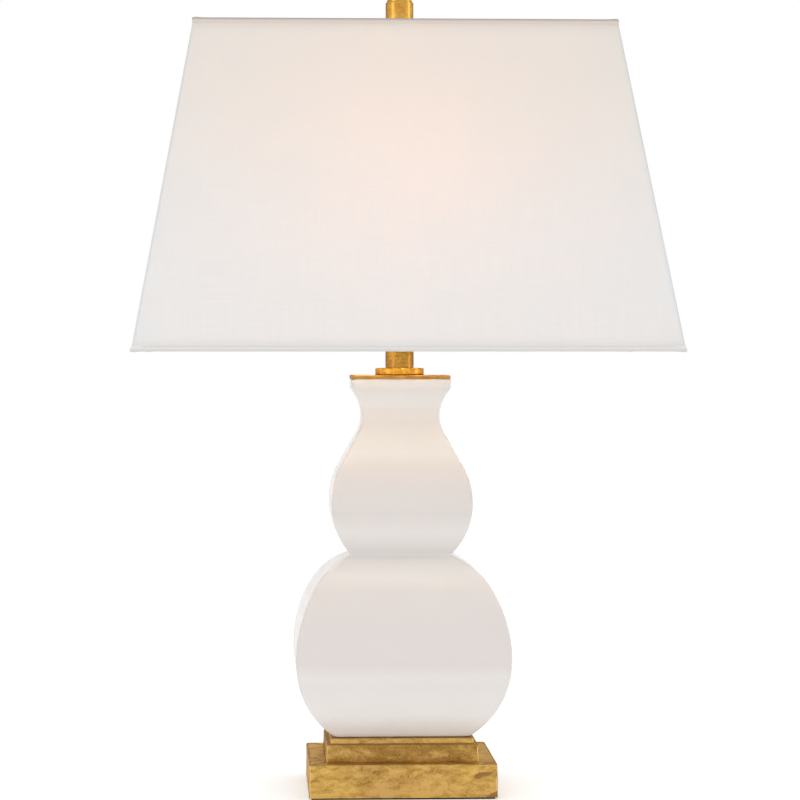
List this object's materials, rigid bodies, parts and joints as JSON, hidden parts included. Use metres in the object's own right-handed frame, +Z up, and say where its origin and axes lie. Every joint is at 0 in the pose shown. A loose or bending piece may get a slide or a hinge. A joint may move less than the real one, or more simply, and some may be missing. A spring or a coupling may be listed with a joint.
{
  "type": "gourd table lamp",
  "caption": "Table lamp with a white glazed double-gourd body of rectangular section on a stepped gilded plinth, brass neck and finial, and a tapered rectangular fabric shade on a harp.",
  "frame": {"origin": "middle of the footprint, on the surface that the lamp stands on", "axes": "+Z up, +X to the right seen from the front, +Y to the back"},
  "size_m": [0.4514, 0.2994, 0.68],
  "materials": {
    "felt": "brown-black wool felt",
    "gilded_wood": "worn gold leaf over red-brown bole on wood",
    "steel": "zinc-plated steel",
    "glaze": "white gloss glaze",
    "neck_brass": "lacquered antique brass",
    "harp_brass": "brass-plated steel wire",
    "socket_brass": "drawn brass sheet",
    "liner_board": "waxed fibre board",
    "phenolic": "moulded phenolic",
    "screw_shell": "rolled aluminium",
    "contact_brass": "stamped brass",
    "knob_plastic": "moulded black plastic",
    "bushing_plastic": "moulded brown plastic",
    "insulator": "black vitrite",
    "opal_glass": "inside-frosted glass",
    "stem_glass": "clear glass",
    "lead_wire": "nickel and tungsten wire",
    "shade_fabric": "off-white woven fabric on a stiff liner",
    "shade_wire": "white-coated steel wire",
    "finial_brass": "lacquered antique brass"
  },
  "bodies": {
    "lamp_stand": {"felt_pad": "felt", "plinth_lower_block": "gilded_wood", "plinth_upper_block": "gilded_wood", "cord_bushing": "bushing_plastic", "base_washer": "steel", "base_lock_washer": "steel", "base_nut": "steel", "lamp_pipe": "steel", "gourd_body": "glaze", "neck_cap_plate": "neck_brass", "neck_ring": "neck_brass", "neck_nut": "steel", "neck_tube": "neck_brass", "harp_saddle": "harp_brass", "harp_wire": "harp_brass", "harp_stud": "harp_brass", "socket_cap": "socket_brass", "socket_set_screw": "socket_brass", "socket_shell": "socket_brass", "socket_liner": "liner_board", "socket_block": "phenolic", "terminal_screws": "contact_brass", "socket_screw_shell": "screw_shell", "socket_contact": "contact_brass"},
    "harp_sleeve_left": {"harp_sleeve_left": "harp_brass"},
    "harp_sleeve_right": {"harp_sleeve_right": "harp_brass"},
    "switch": {"switch_shaft": "contact_brass", "switch_knob": "knob_plastic"},
    "bulb": {"bulb_contact": "contact_brass", "bulb_insulator": "insulator", "bulb_cap": "screw_shell", "bulb_glass": "opal_glass", "bulb_stem": "stem_glass", "bulb_leads": "lead_wire", "bulb_filament": "lead_wire"},
    "shade": {"shade_panel_front": "shade_fabric", "shade_panel_back": "shade_fabric", "shade_panel_left": "shade_fabric", "shade_panel_right": "shade_fabric", "shade_top_hem": "shade_fabric", "shade_top_wire": "shade_wire", "shade_bottom_hem": "shade_fabric", "shade_bottom_wire": "shade_wire", "shade_corner_ribs": "shade_wire", "shade_spider_hub": "harp_brass", "shade_spider_arms": "harp_brass"},
    "finial": {"finial": "finial_brass"}
  },
  "joints": [
    {"name": "shade_swivel", "type": "hinge", "parent": "lamp_stand", "child": "shade", "pos_m": [0, 0, 0.6396], "axis": [0, 0, 1], "continuous": true},
    {"name": "finial_turn", "type": "hinge", "parent": "lamp_stand", "child": "finial", "pos_m": [0, 0, 0.6396], "axis": [0, 0, 1], "continuous": true},
    {"name": "bulb_turn", "type": "hinge", "parent": "lamp_stand", "child": "bulb", "pos_m": [0, 0, 0.4096], "axis": [0, 0, 1], "continuous": true},
    {"name": "switch_turn", "type": "hinge", "parent": "lamp_stand", "child": "switch", "pos_m": [0, -0.02, 0.4343], "axis": [0, -1, 0], "continuous": true},
    {"name": "harp_sleeve_left_slide", "type": "slide", "parent": "lamp_stand", "child": "harp_sleeve_left", "axis": [0, 0, 1], "range_m": [0, 0.012]},
    {"name": "harp_sleeve_right_slide", "type": "slide", "parent": "lamp_stand", "child": "harp_sleeve_right", "axis": [0, 0, 1], "range_m": [0, 0.012]}
  ]
}
